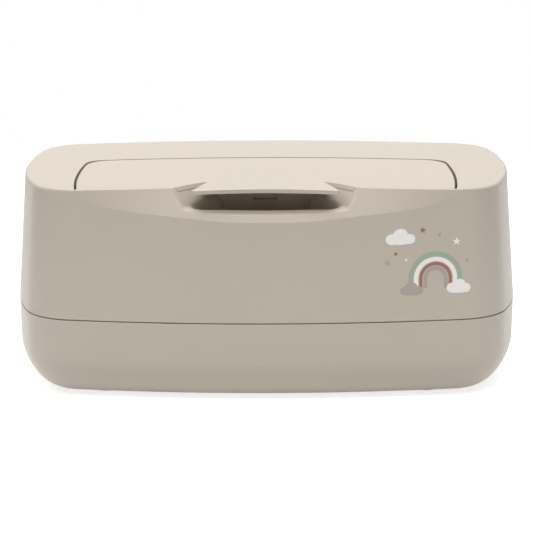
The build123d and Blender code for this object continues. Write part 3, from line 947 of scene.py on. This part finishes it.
@dataclass
class FrontPrint:
    """A small printed picture on the right of the cover's front: clouds, a rainbow, stars and dots.

    The picture's own measures are in millimetres, x across and z up.
    """

    thickness: float = 0.05 * MM
    layer_step: float = 0.004 * MM
    longest_edge: float = 1.2 * MM
    wall_low_z: float = 39.65 * MM
    draft: float = math.tan(math.radians(3.54))
    oval_segments: int = 36
    band_steps: int = 28
    star_points: int = 5
    star_waist: float = 0.42
    rainbow_place: tuple[float, float] = (79.2, 59.6)
    rainbow_foot: float = 4.6
    plan: PlanCurve = PlanCurve()
    layers: int = 0

    # each band: name, ink, inner and outer radius
    bands: tuple = (
        ("rainbow_outer", Ink.SAGE, 10.6, 12.6),
        ("rainbow_second", Ink.CREAM, 8.1, 10.1),
        ("rainbow_third", Ink.CLAY, 6.2, 7.6),
        ("rainbow_inner", Ink.MAUVE, 3.9, 5.7),
    )
    # each cloud: name, ink and its ovals, each by middle x and z and half its width and height
    clouds: tuple = (
        ("cloud_high", Ink.CREAM, (
            (58.9, 78.4, 3.1, 2.6), (62.8, 80.0, 3.6, 3.4), (66.8, 78.5, 2.9, 2.4), (62.8, 77.5, 5.6, 1.7),
        )),
        ("cloud_low", Ink.CREAM, (
            (87.4, 54.8, 3.0, 2.5), (90.6, 56.0, 2.7, 2.9), (93.4, 54.6, 2.3, 2.2), (90.2, 53.8, 4.7, 1.6),
        )),
        ("cloud_foot", Ink.MAUVE, (
            (65.2, 54.1, 2.6, 2.1), (68.0, 55.2, 2.9, 2.8), (71.0, 54.1, 2.4, 2.0), (68.0, 53.4, 4.4, 1.4),
        )),
    )
    # each star or dot: middle x and z, reach and ink
    stars: tuple = ((73.2, 82.4, 1.6, Ink.CLAY), (89.0, 76.6, 2.0, Ink.CREAM), (56.8, 67.4, 1.7, Ink.SAGE))
    dots: tuple = (
        (60.6, 71.6, 0.75, Ink.CLAY), (65.4, 68.6, 0.6, Ink.CREAM), (81.0, 80.0, 0.7, Ink.SAGE),
        (94.0, 67.4, 0.7, Ink.MAUVE),
    )

    def lay_on_wall(self, forms: list[bmesh.types.BMesh], name: str, ink: Ink, palette: Palette) -> None:
        """Wraps flat shapes, drawn in x and z, onto the wall as thin layers of ink.

        Args:
            forms: the flat shapes, which are freed.
            name: the piece's name.
            ink: its ink.
            palette: the finishes.
        """
        whole = bmesh.new()
        for form in forms:
            self.wrap(form)
            layer = bpy.data.meshes.new(name + "_layer")
            form.to_mesh(layer)
            form.free()
            whole.from_mesh(layer)
            bpy.data.meshes.remove(layer)
        piece = new_piece(name, whole, palette.inks[ink], Body.COVER)

    def wrap(self, form: bmesh.types.BMesh) -> None:
        """Bends one flat shape onto the wall, just above the last one, and thickens it.

        Args:
            form: the flat shape.
        """
        bmesh.ops.remove_doubles(form, verts=form.verts, dist=TINY_GAP)
        bmesh.ops.triangulate(form, faces=form.faces)
        long_edges = [edge for edge in form.edges if edge.calc_length() > self.longest_edge]
        if long_edges:
            bmesh.ops.subdivide_edges(form, edges=long_edges, cuts=2, use_grid_fill=True)
        self.layers += 1
        proud = self.thickness + self.layer_step * self.layers
        for vert in form.verts:
            inset = (vert.co.z - self.wall_low_z) * self.draft
            vert.co.y = self.plan.front_y(vert.co.x, inset) - proud
        bmesh.ops.recalc_face_normals(form, faces=form.faces)
        if sum(face.normal.y * face.calc_area() for face in form.faces) > 0:
            bmesh.ops.reverse_faces(form, faces=form.faces)
        bmesh.ops.solidify(form, geom=form.faces[:], thickness=self.thickness)
        bmesh.ops.recalc_face_normals(form, faces=form.faces)

    def upright(self, x: float, z: float) -> Matrix:
        """Gives the transform that stands a flat shape up at a place of the picture."""
        return Matrix.Translation((x * MM, 0, z * MM)) @ Matrix.Rotation(math.radians(90), 4, "X")

    def oval(self, x: float, z: float, wide: float, high: float) -> bmesh.types.BMesh:
        """Makes a flat oval.

        Args:
            x: its middle across.
            z: its middle height.
            wide: half its width.
            high: half its height.

        Returns:
            The oval.
        """
        form = bmesh.new()
        place = self.upright(x, z) @ Matrix.Diagonal((wide * MM, high * MM, 1, 1))
        bmesh.ops.create_circle(
            form, cap_ends=True, segments=self.oval_segments, radius=1.0, matrix=place
        )
        return form

    def band(self, inner: float, outer: float) -> bmesh.types.BMesh:
        """Makes one band of the rainbow: a half ring with two short straight feet.

        Args:
            inner: inner radius.
            outer: outer radius.

        Returns:
            The band.
        """
        form = bmesh.new()
        x, z = self.rainbow_place
        foot = self.rainbow_foot
        low = [form.verts.new(((x + radius) * MM, 0, (z - foot) * MM)) for radius in (inner, outer)]
        up = bmesh.ops.extrude_edge_only(form, edges=[form.edges.new(low)])["geom"]
        bmesh.ops.translate(form, vec=(0, 0, foot * MM), verts=self.verts_of(up))
        rim = set(self.verts_of(up))
        across = [edge for edge in self.edges_of(up) if rim.issuperset(edge.verts)]
        turned = bmesh.ops.spin(
            form, geom=across, cent=(x * MM, 0, z * MM), axis=(0, -1, 0), angle=math.pi,
            steps=self.band_steps, use_duplicate=False,
        )
        down = bmesh.ops.extrude_edge_only(form, edges=self.edges_of(turned["geom_last"]))["geom"]
        bmesh.ops.translate(form, vec=(0, 0, -foot * MM), verts=self.verts_of(down))
        return form

    @staticmethod
    def verts_of(geometry: list) -> list[bmesh.types.BMVert]:
        """Gives the vertices among an operator's results."""
        return [part for part in geometry if isinstance(part, bmesh.types.BMVert)]

    @staticmethod
    def edges_of(geometry: list) -> list[bmesh.types.BMEdge]:
        """Gives the edges among an operator's results."""
        return [part for part in geometry if isinstance(part, bmesh.types.BMEdge)]

    def star(self, x: float, z: float, reach: float) -> bmesh.types.BMesh:
        """Makes a flat star.

        Args:
            x: its middle across.
            z: its middle height.
            reach: from the middle to a tip.

        Returns:
            The star.
        """
        form = bmesh.new()
        made = bmesh.ops.create_circle(
            form, cap_ends=True, segments=2 * self.star_points, radius=reach * MM, matrix=self.upright(x, z)
        )
        centre = Vector((x * MM, 0, z * MM))
        for vert in made["verts"][1::2]:
            vert.co = centre + (vert.co - centre) * self.star_waist
        return form

    def build(self, palette: Palette) -> None:
        """Prints the picture, one layer of ink after another.

        Args:
            palette: the finishes.
        """
        for name, ink, inner, outer in self.bands:
            self.lay_on_wall([self.band(inner, outer)], name, ink, palette)
        for name, ink, ovals in self.clouds:
            self.lay_on_wall([self.oval(*sizes) for sizes in ovals], name, ink, palette)
        for number, (x, z, reach, ink) in enumerate(self.stars, 1):
            self.lay_on_wall([self.star(x, z, reach)], f"star_{number}", ink, palette)
        for number, (x, z, reach, ink) in enumerate(self.dots, 1):
            self.lay_on_wall([self.oval(x, z, reach, reach)], f"dot_{number}", ink, palette)


# ---- studio


class Lamp(Enum):
    """Lamps by azimuth (0 is in front), elevation, size in metres and power."""

    FRONT = (0.0, 63.0, 1.4, 36.0)
    RIGHT = (105.0, 48.0, 1.2, 2.0)
    LEFT = (-102.0, 48.0, 1.2, 8.0)
    BACK = (180.0, 54.0, 1.4, 29.0)


@dataclass
class Studio:
    """White sweep, soft lamps and the camera."""

    image_size: int = 533
    focal_px: float = 3502.0
    sensor_width: float = 36.0
    camera_place: Triple = (12.3 * MM, -1642.5 * MM, 453.1 * MM)
    camera_target: Triple = (0.0, 0.0, 51.16 * MM)
    camera_roll: float = -0.22
    camera_clip: float = 50.0
    lamp_distance: float = 2.2
    world_fill: float = 0.04
    floor_reach: float = 0.5
    floor_cells: int = 8
    floor_drop: float = 0.02 * MM
    floor_paint: Colour = (0.9, 0.9, 0.9, 1.0)
    floor_glow: float = 0.75

    def build(self) -> None:
        """Sets the colour view and builds the world, the floor, the lamps and the camera."""
        bpy.context.scene.view_settings.view_transform = "Standard"
        self.build_world()
        self.build_floor()
        self.build_lamps()
        self.build_camera()

    def build_world(self) -> None:
        """White for the camera and for reflections, a dim grey for diffuse light."""
        world = bpy.data.worlds.new("studio")
        bpy.context.scene.world = world
        world.use_nodes = True
        world.node_tree.nodes.clear()
        nodes = Nodes(world.node_tree)
        output = nodes.add("ShaderNodeOutputWorld")
        seen = nodes.add("ShaderNodeBackground", in_Color=WHITE, in_Strength=1.0)
        fill = nodes.add("ShaderNodeBackground", in_Color=WHITE, in_Strength=self.world_fill)
        direct = nodes.rays("Is Camera Ray", "Is Glossy Ray", "Is Transmission Ray")
        nodes.link(nodes.choose(direct, fill.outputs[0], seen.outputs[0]), output.inputs["Surface"])

    def build_floor(self) -> None:
        """A wide white floor that keeps a faint shadow."""
        form = bmesh.new()
        cells = self.floor_cells
        bmesh.ops.create_grid(form, x_segments=cells, y_segments=cells, size=self.floor_reach)
        bmesh.ops.translate(form, vec=(0, 0, -self.floor_drop), verts=form.verts)
        mesh = bpy.data.meshes.new("floor")
        form.to_mesh(mesh)
        form.free()
        floor = bpy.data.objects.new("floor", mesh)
        bpy.context.scene.collection.objects.link(floor)
        material, nodes, surface = new_material("floor_white")
        paint = nodes.add("ShaderNodeBsdfDiffuse", in_Color=self.floor_paint)
        glow = nodes.add("ShaderNodeEmission", in_Color=WHITE, in_Strength=self.floor_glow)
        bright = nodes.add("ShaderNodeAddShader")
        nodes.link(paint.outputs[0], bright.inputs[0])
        nodes.link(glow.outputs[0], bright.inputs[1])
        direct = nodes.rays("Is Camera Ray", "Is Glossy Ray")
        nodes.link(nodes.choose(direct, paint.outputs[0], bright.outputs[0]), surface)
        mesh.materials.append(material)

    def build_lamps(self) -> None:
        """Hangs soft square lamps all round, none of them low."""
        for kind in Lamp:
            azimuth, elevation, size, power = kind.value
            data = bpy.data.lights.new(kind.name.lower() + "_lamp", "AREA")
            data.shape = "SQUARE"
            data.size = size
            data.energy = power
            lamp = bpy.data.objects.new(data.name, data)
            around, up = math.radians(azimuth), math.radians(elevation)
            level = math.cos(up)
            away = Vector((level * math.sin(around), -level * math.cos(around), math.sin(up)))
            lamp.location = away * self.lamp_distance
            lamp.rotation_euler = (-away).to_track_quat("-Z", "Y").to_euler()
            bpy.context.scene.collection.objects.link(lamp)
            lamp.visible_glossy = False

    def build_camera(self) -> None:
        """Places the camera at the photograph's view."""
        data = bpy.data.cameras.new("camera")
        data.sensor_width = self.sensor_width
        data.lens = self.focal_px / self.image_size * self.sensor_width
        data.clip_end = self.camera_clip
        camera = bpy.data.objects.new("camera", data)
        bpy.context.scene.collection.objects.link(camera)
        aim = Vector(self.camera_target) - Vector(self.camera_place)
        turn = aim.to_track_quat("-Z", "Y").to_matrix().to_4x4()
        roll = Matrix.Rotation(math.radians(self.camera_roll), 4, "Z")
        camera.matrix_world = Matrix.Translation(self.camera_place) @ turn @ roll
        bpy.context.scene.camera = camera


def main() -> None:
    """Builds the studio and dresses every sub-assembly in order."""
    Studio().build()
    palette = Palette()
    for assembly in (Tray(), Cover(), FlipLid(), PressPlate(), FrontPrint()):
        assembly.build(palette)


if __name__ == "__main__":
    main()
